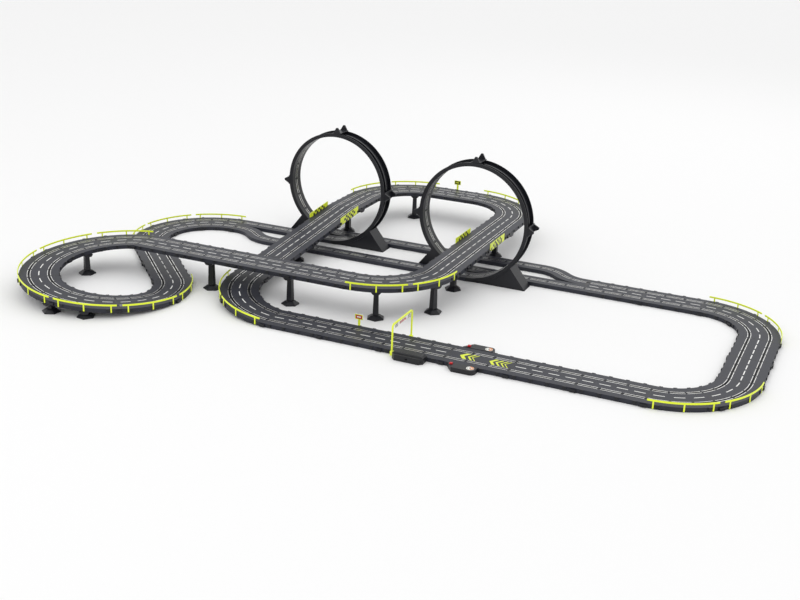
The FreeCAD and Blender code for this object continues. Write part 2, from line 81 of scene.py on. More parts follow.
# Injection-moulded plastic: an even colour with a fine spark-eroded grain, faint flow
# clouds, and a little pale dust where a face looks up. Fluorescent colours get a painted
# glow: a faint emission in their own colour that brightens them where the lamps leave them dull.
def mouldedPlastic(name, look):
    material, tree = emptyMaterial(name)
    place = addNode(tree, "ShaderNodeTexCoord").outputs["Object"]
    clouds = addNode(tree, "ShaderNodeTexNoise", None,
                     {"Scale": perMm(look["cloudMm"]), "Detail": 3.0, "Roughness": 0.55},
                     {"Vector": place})
    grain = addNode(tree, "ShaderNodeTexNoise", None,
                    {"Scale": perMm(look["grainMm"]), "Detail": 2.0, "Roughness": 0.6},
                    {"Vector": place})
    cloudRange = addNode(tree, "ShaderNodeMapRange", None,
                         {"From Min": 0.35, "From Max": 0.7, "To Min": 0.0,
                          "To Max": look["cloudiness"]},
                         {"Value": clouds.outputs["Fac"]})
    tinted = addNode(tree, "ShaderNodeMix", {"data_type": "RGBA"},
                     {6: hexColour(look["colour"]), 7: hexColour(look["paler"])},
                     {0: cloudRange.outputs["Result"]})
    facing = addNode(tree, "ShaderNodeSeparateXYZ", None, None,
                     {0: addNode(tree, "ShaderNodeNewGeometry").outputs["Normal"]})
    dust = addNode(tree, "ShaderNodeMapRange", None,
                   {"From Min": 0.7, "From Max": 1.0, "To Min": 0.0, "To Max": look["dust"]},
                   {"Value": facing.outputs["Z"]})
    dusty = addNode(tree, "ShaderNodeMath", {"operation": "MULTIPLY"}, None,
                    {0: dust.outputs["Result"], 1: grain.outputs["Fac"]})
    colour = addNode(tree, "ShaderNodeMix", {"data_type": "RGBA"}, {7: hexColour(look["dustColour"])},
                     {0: dusty.outputs["Value"], 6: tinted.outputs[2]})
    rough = addNode(tree, "ShaderNodeMapRange", None,
                    {"From Min": 0.3, "From Max": 0.7, "To Min": look["roughness"] - 0.06,
                     "To Max": look["roughness"] + 0.06}, {"Value": grain.outputs["Fac"]})
    bump = addNode(tree, "ShaderNodeBump", None, {"Strength": look["bump"], "Distance": grainDepth},
                   {"Height": grain.outputs["Fac"]})
    # the emission is a painted glow, zero unless a look asks for one
    shader = addNode(tree, "ShaderNodeBsdfPrincipled", None,
                     {"IOR": look["ior"], "Specular IOR Level": 0.36,
                      "Emission Color": hexColour(look["colour"]),
                      "Emission Strength": look.get("paintedGlow", 0.0)},
                     {"Base Color": colour.outputs[2], "Roughness": rough.outputs["Result"],
                      "Normal": bump.outputs["Normal"]})
    addNode(tree, "ShaderNodeOutputMaterial", None, None, {"Surface": shader.outputs["BSDF"]})
    return material


# Thin screen-printed ink: a flat, even film, paler or darker in patches where it has worn.
def printedInk(name, look):
    material, tree = emptyMaterial(name)
    place = addNode(tree, "ShaderNodeTexCoord").outputs["Object"]
    mottle = addNode(tree, "ShaderNodeTexNoise", None, {"Scale": perMm(look["mottleMm"]), "Detail": 4.0},
                     {"Vector": place})
    worn = addNode(tree, "ShaderNodeMapRange", None,
                   {"From Min": 0.56, "From Max": 0.74, "To Min": 0.0, "To Max": look["wear"]},
                   {"Value": mottle.outputs["Fac"]})
    colour = addNode(tree, "ShaderNodeMix", {"data_type": "RGBA"},
                     {6: hexColour(look["colour"]), 7: hexColour(look["under"])},
                     {0: worn.outputs["Result"]})
    shader = addNode(tree, "ShaderNodeBsdfPrincipled", None,
                     {"Roughness": look["roughness"], "IOR": 1.5}, {"Base Color": colour.outputs[2]})
    addNode(tree, "ShaderNodeOutputMaterial", None, None, {"Surface": shader.outputs["BSDF"]})
    return material


# Tin-plated steel strip, rolled lengthwise: pale, satin, with fine draw lines and a
# brown bloom where pickups have rubbed it.
def tinnedSteel(name, look):
    material, tree = emptyMaterial(name)
    place = addNode(tree, "ShaderNodeTexCoord").outputs["Object"]
    bloom = addNode(tree, "ShaderNodeTexNoise", None, {"Scale": perMm(look["bloomMm"]), "Detail": 3.0},
                    {"Vector": place})
    lines = addNode(tree, "ShaderNodeTexNoise", None, {"Scale": perMm(look["lineMm"]), "Detail": 1.0},
                    {"Vector": place})
    bloomRange = addNode(tree, "ShaderNodeMapRange", None,
                         {"From Min": 0.45, "From Max": 0.75, "To Min": 0.0, "To Max": 0.6},
                         {"Value": bloom.outputs["Fac"]})
    colour = addNode(tree, "ShaderNodeMix", {"data_type": "RGBA"},
                     {6: hexColour(look["colour"]), 7: hexColour(look["rubbed"])},
                     {0: bloomRange.outputs["Result"]})
    rough = addNode(tree, "ShaderNodeMapRange", None,
                    {"From Min": 0.3, "From Max": 0.7, "To Min": look["roughness"] - 0.08,
                     "To Max": look["roughness"] + 0.1}, {"Value": lines.outputs["Fac"]})
    shader = addNode(tree, "ShaderNodeBsdfPrincipled", None, {"Metallic": 1.0},
                     {"Base Color": colour.outputs[2], "Roughness": rough.outputs["Result"]})
    addNode(tree, "ShaderNodeOutputMaterial", None, None, {"Surface": shader.outputs["BSDF"]})
    return material


trackLook = {"colour": "#1d1f29", "paler": "#252733", "cloudMm": 45, "cloudiness": 0.6, "grainMm": 1.1,
             "dust": 0.07, "dustColour": "#8b8d96", "roughness": 0.48, "bump": 0.35, "ior": 1.53}
blackLook = {"colour": "#0f1016", "paler": "#17181f", "cloudMm": 40, "cloudiness": 0.6, "grainMm": 1.0,
             "dust": 0.06, "dustColour": "#77777d", "roughness": 0.38, "bump": 0.25, "ior": 1.53}
housingLook = {"colour": "#131418", "paler": "#1b1c21", "cloudMm": 30, "cloudiness": 0.5, "grainMm": 0.8,
               "dust": 0.06, "dustColour": "#85868c", "roughness": 0.42, "bump": 0.3, "ior": 1.53}
# the rails carry a painted glow, a faint emission that lifts them where the lamps leave them dull
railLook = {"colour": "#dcea30", "paler": "#e4f04a", "cloudMm": 25, "cloudiness": 0.5, "grainMm": 0.7,
            "dust": 0.0, "dustColour": "#ffffff", "roughness": 0.3, "bump": 0.08, "ior": 1.53,
            "paintedGlow": 0.1}
redLook = {"colour": "#c01a22", "paler": "#cf2c30", "cloudMm": 10, "cloudiness": 0.4, "grainMm": 0.5,
           "dust": 0.0, "dustColour": "#ffffff", "roughness": 0.28, "bump": 0.05, "ior": 1.53}
dialLook = {"colour": "#ecebe4", "paler": "#f4f3ee", "cloudMm": 8, "cloudiness": 0.4, "grainMm": 0.5,
            "dust": 0.0, "dustColour": "#ffffff", "roughness": 0.32, "bump": 0.05, "ior": 1.49}
leverLook = {"colour": "#1b1b1f", "paler": "#242428", "cloudMm": 10, "cloudiness": 0.4, "grainMm": 0.5,
             "dust": 0.0, "dustColour": "#ffffff", "roughness": 0.4, "bump": 0.1, "ior": 1.41}

# ABS from a spark-eroded mould is matt with a soft sheen, and from a polished one it is glossy.
trackAbs = mouldedPlastic("trackAbs", trackLook)          # eroded: matt, faintly clouded decks
blackAbs = mouldedPlastic("blackAbs", blackLook)          # eroded: piers, loops, clips and supports
housingAbs = mouldedPlastic("housingAbs", housingLook)    # eroded: terminal box and lap counters
railAbs = mouldedPlastic("railAbs", railLook)             # polished, fluorescent: rails and gantry
redAbs = mouldedPlastic("redAbs", redLook)                # polished: reset buttons
dialStyrene = mouldedPlastic("dialStyrene", dialLook)     # polished: white, crisp number wheels
leverAcetal = mouldedPlastic("leverAcetal", leverLook)    # waxy, slippery levers under the deck
contactSteel = tinnedSteel("contactSteel", {"colour": "#f7f7f5", "rubbed": "#d6d0c6", "bloomMm": 30,
                                            "lineMm": 1.5, "roughness": 0.34})
whiteInk = printedInk("whiteInk", {"colour": "#efefec", "under": "#9a9ba0", "mottleMm": 4, "wear": 0.5,
                                   "roughness": 0.5})
neonInk = printedInk("neonInk", {"colour": "#e0ec34", "under": "#949a44", "mottleMm": 4, "wear": 0.4,
                                 "roughness": 0.45})
blackInk = printedInk("blackInk", {"colour": "#0d0d0f", "under": "#19191c", "mottleMm": 3, "wear": 0.3,
                                   "roughness": 0.4})
redInk = printedInk("redInk", {"colour": "#b3262b", "under": "#8c3a3a", "mottleMm": 3, "wear": 0.3,
                               "roughness": 0.4})
orangeInk = printedInk("orangeInk", {"colour": "#f08a2c", "under": "#c9742c", "mottleMm": 3, "wear": 0.2,
                                     "roughness": 0.4})
print("materials made:", len(bpy.data.materials))


# mesh helpers

def finishMesh(name, mesh, materials, body="circuit", sharpDegrees=28):
    bmesh.ops.recalc_face_normals(mesh, faces=mesh.faces)
    for face in mesh.faces:
        face.smooth = True
    for edge in mesh.edges:
        if len(edge.link_faces) != 2 or edge.calc_face_angle() > math.radians(sharpDegrees):
            edge.smooth = False
    data = bpy.data.meshes.new(name)
    mesh.to_mesh(data)
    mesh.free()
    for material in materials:
        data.materials.append(material)
    piece = bpy.data.objects.new(name, data)
    bpy.context.scene.collection.objects.link(piece)
    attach(piece, body)
    return piece


def joinRings(mesh, rings):
    # walls from ring to ring, and a cap at each end
    count = len(rings[0])
    for near, far in zip(rings, rings[1:]):
        for index in range(count):
            after = (index + 1) % count
            mesh.faces.new((near[index], near[after], far[after], far[index]))
    mesh.faces.new(rings[0])
    mesh.faces.new(rings[-1])


def sweep(mesh, stations, profile):
    joinRings(mesh, [[mesh.verts.new(origin + left * across + lift * height) for across, height in profile]
                     for origin, left, lift in stations])


def chamfered(low, high, bottom, top, cut):
    return [(low + cut, bottom), (high - cut, bottom), (high, bottom + cut), (high, top - cut),
            (high - cut, top), (low + cut, top), (low, top - cut), (low, bottom + cut)]


def addBlock(mesh, station, ahead, across, height, cut=0.0003):
    # a chamfered block: ahead, across and height are (low, high) in the station's own directions
    origin, left, lift = station
    forward = left.cross(lift)
    rings = []
    for along, shrink in ((ahead[0], cut), (ahead[0] + cut, 0), (ahead[1] - cut, 0), (ahead[1], cut)):
        middle = origin + forward * along
        profile = chamfered(across[0] + shrink, across[1] - shrink, height[0] + shrink,
                            height[1] - shrink, cut)
        rings.append([mesh.verts.new(middle + left * a + lift * h) for a, h in profile])
    joinRings(mesh, rings)


softening = {"weld": 0.000002, "flatDegrees": 0.4, "sharpDegrees": 32}


def softenNode(node, material, body="circuit", radius=0.0005, segments=2, holed=False):
    # a copy of a CAD solid with its edges rounded as a mould leaves them; faces with holes keep
    # their triangles
    mesh = bmesh.new()
    mesh.from_mesh(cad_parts[node].data)
    bmesh.ops.remove_doubles(mesh, verts=mesh.verts, dist=softening["weld"])
    if not holed:
        bmesh.ops.dissolve_limit(mesh, angle_limit=math.radians(softening["flatDegrees"]),
                                 verts=mesh.verts, edges=mesh.edges)
    piece = finishMesh("soft_" + node, mesh, [material], body, softening["sharpDegrees"])
    bevel = piece.modifiers.new("moulded edge", "BEVEL")
    bevel.width = radius
    bevel.segments = segments
    bevel.limit_method = "ANGLE"
    bevel.angle_limit = math.radians(softening["sharpDegrees"])
    bevel.harden_normals = True
    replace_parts(piece, node)


# the circuit, laid section by section from the left-hand end of the start straight; climb is
# the number of equal steps up to the bridge

layout = {"straight": 0.180, "short": 0.160, "half": 0.090, "pitch": 0.0575, "height": 0.012,
          "bridge": 0.085, "climb": 6, "strandGap": 0.0085, "lead": 0.020, "loopRadius": 0.187,
          "turn": 45.0, "bendSteps": 16}
straight, short, half = layout["straight"], layout["short"], layout["half"]
halfTrack = layout["pitch"]  # two lanes, each one pitch wide
halfLane = layout["pitch"] / 2
deck = layout["height"]
curveRadius = (straight - short) / math.sqrt(2) + straight
climbStep = layout["bridge"] / layout["climb"]
strandShift = layout["pitch"] + layout["strandGap"]
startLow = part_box("start_straight_sections")[0]
startPoint = Vector((startLow[0], startLow[1] + halfTrack, 0))
sections = []


def stationOf(section, share):
    origin = Vector((section["x"], section["y"], section["z"] + section["rise"] * share))
    heading = math.radians(section["heading"])
    forward = Vector((math.cos(heading), math.sin(heading), 0))
    left = Vector((-forward.y, forward.x, 0))
    if not section["turn"]:
        return origin + forward * section["length"] * share, left, up
    side = math.copysign(1, section["turn"])
    bend = math.radians(abs(section["turn"]) * share)
    origin += forward * curveRadius * math.sin(bend)
    origin += left * side * curveRadius * (1 - math.cos(bend))
    return origin, left * math.cos(bend) - forward * side * math.sin(bend), up


def layRun(pen, node, count, length=0.0, turn=0.0, rises=None):
    run = []
    for index in range(count):
        rise = rises[index] if rises else 0.0
        section = dict(pen, node=node, length=length, turn=turn, rise=rise)
        run.append(section)
        origin = stationOf(section, 1.0)[0]
        pen.update({"x": origin.x, "y": origin.y, "z": origin.z, "heading": pen["heading"] + turn})
        if node:
            sections.append(section)
    return run


pen = {"x": startPoint.x, "y": startPoint.y, "z": 0.0, "heading": 0.0}
turn = layout["turn"]
layRun(pen, "start_straight_sections", 2, straight)
layRun(pen, "power_section", 1, straight)
counterSection = layRun(pen, "lap_counter_section", 1, straight)[0]
layRun(pen, "start_straight_sections", 2, straight)
groundCurves = layRun(pen, "ground_curve_sections", 2, 0, turn)
layRun(pen, "side_straight_sections", 2, short)
groundCurves += layRun(pen, "ground_curve_sections", 2, 0, turn)
layRun(pen, "back_straight_sections", 2, straight)
mergePlace = dict(pen)
layRun(pen, None, 7, straight)
splitPlace = dict(pen, heading=0.0)
groundCurves += layRun(pen, "ground_curve_sections", 3, 0, turn)
layRun(pen, "diagonal_sections", 2, straight)
spiral = layRun(pen, "raised_curve_sections", 7, 0, -turn, [0.0] + [climbStep] * layout["climb"])
layRun(pen, "bridge_straight_sections", 4, straight)
raisedCurves = layRun(pen, "raised_curve_sections", 2, 0, turn)
bridgeSide = layRun(pen, "bridge_side_sections", 1, half)
bridgeSide += layRun(pen, "bridge_side_sections", 3, straight)
raisedCurves += layRun(pen, "raised_curve_sections", 2, 0, turn)
layRun(pen, "bridge_back_section", 1, short)
raisedCurves += layRun(pen, "raised_curve_sections", 2, 0, turn)
rampLength = (pen["y"] - startPoint.y - curveRadius) / 5
ramp = layRun(pen, "ramp_sections", 5, rampLength, 0, [0.0] + [-climbStep] * 4)
raisedCurves += layRun(pen, "raised_curve_sections", 2, 0, turn, [-climbStep] * 2)
print("sections laid:", len(sections))


def sectionLength(section):
    return section["length"] or curveRadius * math.radians(abs(section["turn"]))


def stationsAlong(section, low=0.0, high=1.0, stepDegrees=3.0):
    steps = max(1, math.ceil(abs(section["turn"]) * (high - low) / stepDegrees))
    return [stationOf(section, low + (high - low) * step / steps) for step in range(steps + 1)]


# single-lane strands: the straight lane, the bending lane of the spread pieces, and the loops

backY = mergePlace["y"]
firstLoop = {"x": startPoint.x - straight, "y": backY + halfLane}
secondLoop = {"x": startPoint.x + 2 * straight, "y": backY - halfLane - strandShift}
splitX = splitPlace["x"] + straight
leftWay = Vector((0, 1, 0))


def strandStations(x, y, count):
    joints = [Vector((x + index * straight, y, 0)) for index in range(count + 1)]
    return [[(near, leftWay, up), (far, leftWay, up)] for near, far in zip(joints, joints[1:])]


strands = strandStations(splitX, firstLoop["y"], 1)
strands += strandStations(firstLoop["x"], firstLoop["y"] + strandShift, 4)
strands += strandStations(splitX, secondLoop["y"], 4)
strands += strandStations(secondLoop["x"], secondLoop["y"] + strandShift, 1)


def loopStations(loop, low, high, stepDegrees=2.5):
    steps = math.ceil((high - low) / stepDegrees)
    radius = layout["loopRadius"]
    stations = []
    for step in range(steps + 1):
        angle = low + (high - low) * step / steps
        bend = math.radians(angle)
        lift = Vector((-math.sin(bend), 0, math.cos(bend)))
        middle = Vector((loop["x"], loop["y"] + strandShift * angle / 360, radius))
        stations.append((middle - lift * radius, leftWay, lift))
    return stations


loopQuarters = [loopStations(loop, low, low + 90) for loop in (firstLoop, secondLoop)
                for low in (0, 90, 180, 270)]


def spreadStations(place, bending):
    # the running lane goes straight on; the bending lane swings right, then back
    heading = math.radians(place["heading"])
    forward = Vector((math.cos(heading), math.sin(heading), 0))
    left = Vector((-forward.y, forward.x, 0))
    start = Vector((place["x"], place["y"], 0)) + left * (-halfLane if bending else halfLane)
    if not bending:
        return [(start, left, up), (start + forward * straight, left, up)]
    run = straight - layout["lead"]
    bend = 2 * math.atan(strandShift / run)
    radius = run / (2 * math.sin(bend))
    stations = [(start, left, up)]
    steps = layout["bendSteps"]
    for step in range(2 * steps + 1):
        share = step / steps
        angle = bend * min(share, 2 - share)
        ahead = radius * math.sin(angle)
        drop = radius * (1 - math.cos(angle))
        if share > 1:
            ahead, drop = run - ahead, strandShift - drop
        across = left * math.cos(angle) + forward * math.sin(angle)
        stations.append((start + forward * (layout["lead"] + ahead) - left * drop, across, up))
    return stations


# deck mouldings: a thin plate with side skirts and a tub under each slot

deckMould = {"plate": 0.0026, "skirt": 0.0022, "edgeCut": 0.0006, "slotWidth": 0.0032,
             "slotDepth": 0.0055, "slotCut": 0.0003, "tubWall": 0.0015, "tubDepth": 0.0070}


def deckProfile(lanes):
    m = deckMould
    right, left = min(lanes) - halfLane, max(lanes) + halfLane
    slot, cut, under = m["slotWidth"] / 2, m["slotCut"], deck - m["plate"]
    points = [(right, deck - m["edgeCut"]), (right + m["edgeCut"], deck)]
    floorLevel, tubLevel = deck - m["slotDepth"], deck - m["tubDepth"]
    for lane in lanes:
        points += [(lane - slot - cut, deck), (lane - slot, deck - cut), (lane - slot, floorLevel),
                   (lane + slot, floorLevel), (lane + slot, deck - cut), (lane + slot + cut, deck)]
    points += [(left - m["edgeCut"], deck), (left, deck - m["edgeCut"]), (left, 0),
               (left - m["skirt"], 0), (left - m["skirt"], under)]
    for lane in reversed(lanes):
        wall = slot + m["tubWall"]
        points += [(lane + wall, under), (lane + wall, tubLevel), (lane - wall, tubLevel),
                   (lane - wall, under)]
    return points + [(right + m["skirt"], under), (right + m["skirt"], 0), (right, 0)]


twoLaneProfile = deckProfile([-halfLane, halfLane])
oneLaneProfile = deckProfile([0.0])
for node in sorted({section["node"] for section in sections} - {"lap_counter_section"}):
    mesh = bmesh.new()
    for section in sections:
        if section["node"] == node:
            sweep(mesh, stationsAlong(section), twoLaneProfile)
    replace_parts(finishMesh("deck_" + node, mesh, [trackAbs]), node)
mesh = bmesh.new()
for stations in strands:
    sweep(mesh, stations, oneLaneProfile)
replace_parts(finishMesh("deck_single_lanes", mesh, [trackAbs]), "single_lane_sections")
mesh = bmesh.new()
for stations in loopQuarters:
    sweep(mesh, stations, oneLaneProfile)
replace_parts(finishMesh("deck_loops", mesh, [blackAbs]), "loop_sections")
for node in ("lap_counter_section", "lane_spread_sections"):
    softenNode(node, trackAbs, radius=0.0004, segments=1)
print("decks moulded")


# pickup strips and painted slot shade (a black band along each slot's edge), the printed centre line, and
# dark seams

strip = {"width": 0.0016, "fromSlot": 0.0019, "proud": 0.00018, "sunk": 0.0002, "run": 0.056,
         "bare": 0.06}  # bare is the share of a run left open at each end
# painted shade: a black band on the deck along each slot's edge, standing in for the shade down in the
# slot
slotShade = {"width": 0.0019, "fromSlot": 0.0, "proud": 0.00006, "sunk": 0.0002}
inkSunk = 0.0002  # how far a printed shape reaches into the plastic
dash = {"pitch": 0.045, "length": 0.029, "width": 0.0030, "proud": 0.00006}
seam = {"width": 0.0030, "proud": 0.00008, "inset": 0.001, "clear": 0.0053}


def besideSlot(lane, side, bar):
    near = lane + side * (deckMould["slotWidth"] / 2 + bar["fromSlot"])
    far = near + side * bar["width"]
    return chamfered(min(near, far), max(near, far), deck - bar["sunk"], deck + bar["proud"],
                     bar["proud"] / 2)


def flatStrip(low, high, proud):
    return [(low, deck - inkSunk), (high, deck - inkSunk), (high, deck + proud), (low, deck + proud)]


def portion(stations, low, high):
    last = len(stations) - 1
    marks = [low * last] + [index for index in range(last + 1) if low * last < index < high * last]
    pieces = []
    for mark in marks + [high * last]:
        index = min(int(mark), last - 1)
        nearby = zip(stations[index], stations[index + 1])
        pieces.append(tuple(a.lerp(b, mark - index) for a, b in nearby))
    return pieces


def pathLength(stations):
    return sum((b[0] - a[0]).length for a, b in zip(stations, stations[1:]))


def lanePaths():
    paths = [(stationsAlong(section), (-halfLane, halfLane)) for section in sections]
    paths += [(stations, (0.0,)) for stations in strands]
    for place in (mergePlace, splitPlace):
        paths += [(spreadStations(place, False), (0.0,)), (spreadStations(place, True), (0.0,))]
    return paths + [(stations, (0.0,)) for stations in loopQuarters]


def seamSpans(lanes):
    # from edge to edge, leaving out each slot and its strips
    edges = [min(lanes) - halfLane + seam["inset"]]
    for lane in lanes:
        edges += [lane - seam["clear"], lane + seam["clear"]]
    edges.append(max(lanes) + halfLane - seam["inset"])
    return list(zip(edges[::2], edges[1::2]))


contacts, slotShades = bmesh.new(), bmesh.new()
for stations, lanes in lanePaths():
    count = round(pathLength(stations) / strip["run"])
    for lane in lanes:
        for side in (-1, 1):
            sweep(slotShades, stations, besideSlot(lane, side, slotShade))
            shape = besideSlot(lane, side, strip)
            for index in range(count):
                sweep(contacts, portion(stations, (index + strip["bare"]) / count,
                                        (index + 1 - strip["bare"]) / count), shape)
finishMesh("pickup_strips", contacts, [contactSteel])
# the black bands beside the slots are painted slot shade
finishMesh("painted_slot_shade", slotShades, [blackInk])

dashes, seams = bmesh.new(), bmesh.new()
for section in sections:
    count = round(sectionLength(section) / dash["pitch"])
    share = dash["length"] / sectionLength(section) / 2
    if section is not counterSection:
        for index in range(count):
            middle = (index + 0.5) / count
            sweep(dashes, stationsAlong(section, middle - share, middle + share),
                  flatStrip(-dash["width"] / 2, dash["width"] / 2, dash["proud"]))
for stations, lanes in lanePaths():
    start = portion(stations, 0, seam["width"] / pathLength(stations))
    for low, high in seamSpans(lanes):
        sweep(seams, start, flatStrip(low, high, seam["proud"]))
finishMesh("centre_dashes", dashes, [whiteInk])
finishMesh("joint_seams", seams, [blackInk])
print("strips and centre line laid")


# small lugs along the edges, which guard rails and piers clip to

lug = {"pitch": 0.045, "length": 0.0095, "in": 0.0005, "out": 0.0024, "low": 0.0040, "high": 0.0124}
mesh = bmesh.new()
for section in sections:
    count = max(2, round(sectionLength(section) / lug["pitch"]))
    for index in range(count):
        for side in (-1, 1):
            outer = sorted((side * (halfTrack - lug["in"]), side * (halfTrack + lug["out"])))
            railPost = section["turn"] * side < 0 and index * 2 + 1 == count
            if not railPost:
                addBlock(mesh, stationOf(section, (index + 0.5) / count),
                         (-lug["length"] / 2, lug["length"] / 2), outer, (lug["low"], lug["high"]))
finishMesh("edge_lugs", mesh, [blackAbs])


# guard rails on the outside of every curve

rail = {"gap": 0.0002, "thick": 0.0024, "deep": 0.005, "top": 0.026, "insetDegrees": 1.8,
        "post": 0.004, "postThick": 0.0018, "shares": (0.12, 0.5, 0.88), "foot": 0.0015, "cut": 0.0005}


def guardRails(name, curves, node):
    mesh = bmesh.new()
    for section in curves:
        side = -math.copysign(1, section["turn"])
        near, far = halfTrack + rail["gap"], halfTrack + rail["gap"] + rail["thick"]
        low, high = sorted((side * near, side * far))
        inset = rail["insetDegrees"] / abs(section["turn"])
        sweep(mesh, stationsAlong(section, inset, 1 - inset),
              chamfered(low, high, rail["top"] - rail["deep"], rail["top"], rail["cut"]))
        skin = (rail["thick"] - rail["postThick"]) / 2
        for share in rail["shares"]:
            addBlock(mesh, stationOf(section, share), (-rail["post"] / 2, rail["post"] / 2),
                     (low + skin, high - skin), (rail["foot"], rail["top"] - rail["deep"] / 2))
    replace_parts(finishMesh(name, mesh, [railAbs]), node)


guardRails("ground_rails", groundCurves, "ground_guard_rails")
guardRails("raised_rails", spiral + raisedCurves, "raised_guard_rails")
print("guard rails clipped on")


# pieces that keep their CAD form, with rounded edges and their own plastic

for node in ("pier_feet", "pier_posts", "pier_heads", "joint_clips", "loop_joiners"):
    softenNode(node, blackAbs)
softenNode("loop_supports", blackAbs, radius=0.0007)
softenNode("gantry_frame", railAbs)
for node in ("start_sign_post", "bridge_sign_post"):
    softenNode(node, railAbs)
softenNode("terminal_box", housingAbs, radius=0.0005, holed=True)
softenNode("terminal_lid", housingAbs, radius=0.0006)
softenNode("lap_counter_housings", housingAbs, radius=0.0004, holed=True)
lidRib = {"count": 9, "width": 0.0016, "tall": 0.0005, "sunk": 0.0004, "inset": 0.006, "cut": 0.0002}
low, high = (Vector(corner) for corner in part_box("terminal_lid"))
inset = lidRib["inset"]
mesh = bmesh.new()
for index in range(lidRib["count"]):
    share = (index + 0.5) / lidRib["count"]
    place = Vector((low.x + inset + (high.x - low.x - 2 * inset) * share, low.y, high.z))
    addBlock(mesh, (place, leftWay, up), (-lidRib["width"] / 2, lidRib["width"] / 2),
             (inset, high.y - low.y - inset / 2), (-lidRib["sunk"], lidRib["tall"]), lidRib["cut"])
finishMesh("lid_ribs", mesh, [housingAbs])
for name in ("near", "far"):
    softenNode(name + "_lap_dial", dialStyrene, name + "_lap_dial_body", radius=0.0002)
    softenNode(name + "_reset_button", redAbs, name + "_reset_button_body",
               radius=0.0006)
    softenNode(name + "_trip_lever", leverAcetal, name + "_trip_lever_body",
               radius=0.0002)
print("housings and piers finished")


# printed boards: a grid of cells whose inks follow a rule

def printedBoard(name, corner, along, rise, out, board, inkOf, inks, node):
    # both faces carry the same print, and the rim is in the first ink
    columns, rows = board["columns"], board["rows"]
    mesh = bmesh.new()
    grids = [[[mesh.verts.new(corner + along * (c / columns) + rise * (r / rows) + out * depth)
               for c in range(columns + 1)] for r in range(rows + 1)] for depth in (0, 1)]
    for grid in grids:
        for r in range(rows):
            for c in range(columns):
                face = mesh.faces.new((grid[r][c], grid[r][c + 1], grid[r + 1][c + 1], grid[r + 1][c]))
                face.material_index = inkOf(c, r)
    back, front = grids
    border = [(0, c) for c in range(columns)] + [(r, columns) for r in range(rows)]
    border += [(rows, c) for c in range(columns, 0, -1)] + [(r, 0) for r in range(rows, 0, -1)]
    for (r, c), (nextR, nextC) in zip(border, border[1:] + border[:1]):
        mesh.faces.new((back[r][c], back[nextR][nextC], front[nextR][nextC], front[r][c]))
    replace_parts(finishMesh(name, mesh, inks), node)


panel = {"length": 0.130, "height": 0.024, "thick": 0.002, "lift": 0.003, "gap": 0.0002,
         "columns": 11, "rows": 3, "margin": 2}


def panelInk(c, r):
    return 1 if (c + r) % 2 and panel["margin"] <= c < panel["columns"] - panel["margin"] else 0


def flagPanels(name, section, share, node):
    for side in (-1, 1):
        origin, left, lift = stationOf(section, share)
        forward = left.cross(lift)
        slope = section["rise"] / section["length"]
        step = (forward + up * slope) * panel["length"]
        corner = origin - step / 2 + left * side * (halfTrack + panel["gap"]) + up * panel["lift"]
        printedBoard(name + ("_right" if side < 0 else "_left"), corner, step, up * panel["height"],
                     left * side * panel["thick"], panel, panelInk, [railAbs, blackInk],
                     node)


flagPanels("bridge_panel", bridgeSide[2], 0.42, "bridge_side_panels")
flagPanels("ramp_panel", ramp[1], 0.5, "ramp_side_panels")


def plainBoard(name, node, board, inkOf, inks):
    low, high = (Vector(corner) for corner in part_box(node))
    size = high - low
    along, out = Vector((size.x, 0, 0)), Vector((0, size.y, 0))
    if size.x < size.y:
        along, out = out, along
    printedBoard(name, low, along, Vector((0, 0, size.z)), out, board, inkOf, inks, node)


# the banner has checks at both ends and slanting bars between, the signs a rim and a frame;
# all of it is counted in cells from the edges
banner = {"columns": 34, "rows": 5, "checks": 6, "bars": 10, "barPitch": 4}
sign = {"columns": 12, "rows": 8, "rim": 1, "frame": 3}


def inside(c, r, board, margin):
    return margin <= c < board["columns"] - margin and margin <= r < board["rows"] - margin


def bannerInk(c, r):
    if not banner["checks"] <= c < banner["columns"] - banner["checks"]:
        return 1 if (c + r) % 2 else 0
    if banner["bars"] <= c < banner["columns"] - banner["bars"] and 1 <= r < banner["rows"] - 1:
        return 2 if (c - r) % banner["barPitch"] != banner["barPitch"] - 1 else 0
    return 0


def signInk(c, r):
    if not inside(c, r, sign, sign["rim"]):
        return 2
    return 0 if inside(c, r, sign, sign["frame"]) else 1


plainBoard("gantry_board", "gantry_banner", banner, bannerInk, [whiteInk, blackInk, redInk])
plainBoard("start_board", "start_sign_board", sign, signInk, [whiteInk, redInk, neonInk])
plainBoard("bridge_board", "bridge_sign_board", sign, signInk, [neonInk, blackInk, neonInk])
print("boards printed")


# chevrons on the deck of the lap-count straight

chevron = {"ahead": 0.013, "reach": 0.019, "proud": 0.00008,
           "placesAndWidths": ((0.032, 0.012), (0.054, 0.006), (0.066, 0.003), (0.115, 0.009),
                               (0.132, 0.006), (0.146, 0.0045), (0.157, 0.003))}


def addChevron(mesh, x, y, thick):
    # points against the start straight's own direction
    tip, wing = chevron["ahead"], chevron["reach"]
    shape = [(0, 0), (tip, wing), (tip + thick, wing), (thick, 0), (tip + thick, -wing), (tip, -wing)]
    low = [mesh.verts.new((x + a, y + b, deck - inkSunk)) for a, b in shape]
    high = [mesh.verts.new((x + a, y + b, deck + chevron["proud"])) for a, b in shape]
    for index in range(len(shape)):
        after = (index + 1) % len(shape)
        mesh.faces.new((low[index], low[after], high[after], high[index]))
    for a, b, c, d in ((0, 1, 2, 3), (0, 3, 4, 5)):
        mesh.faces.new((high[a], high[b], high[c], high[d]))
        mesh.faces.new((low[a], low[b], low[c], low[d]))


mesh = bmesh.new()
for ahead, thick in chevron["placesAndWidths"]:
    addChevron(mesh, counterSection["x"] + ahead, counterSection["y"], thick)
finishMesh("deck_chevrons", mesh, [neonInk])


# numbers round each lap dial

numerals = {"size": 0.0034, "ring": 0.0074, "count": 10, "proud": 0.0001,
            "hub": 0.001}  # hub is how far the middle stands above the number ring
band = {"inner": 0.0050, "outer": 0.0098, "steps": 20, "proud": 0.00005, "start": -0.3}


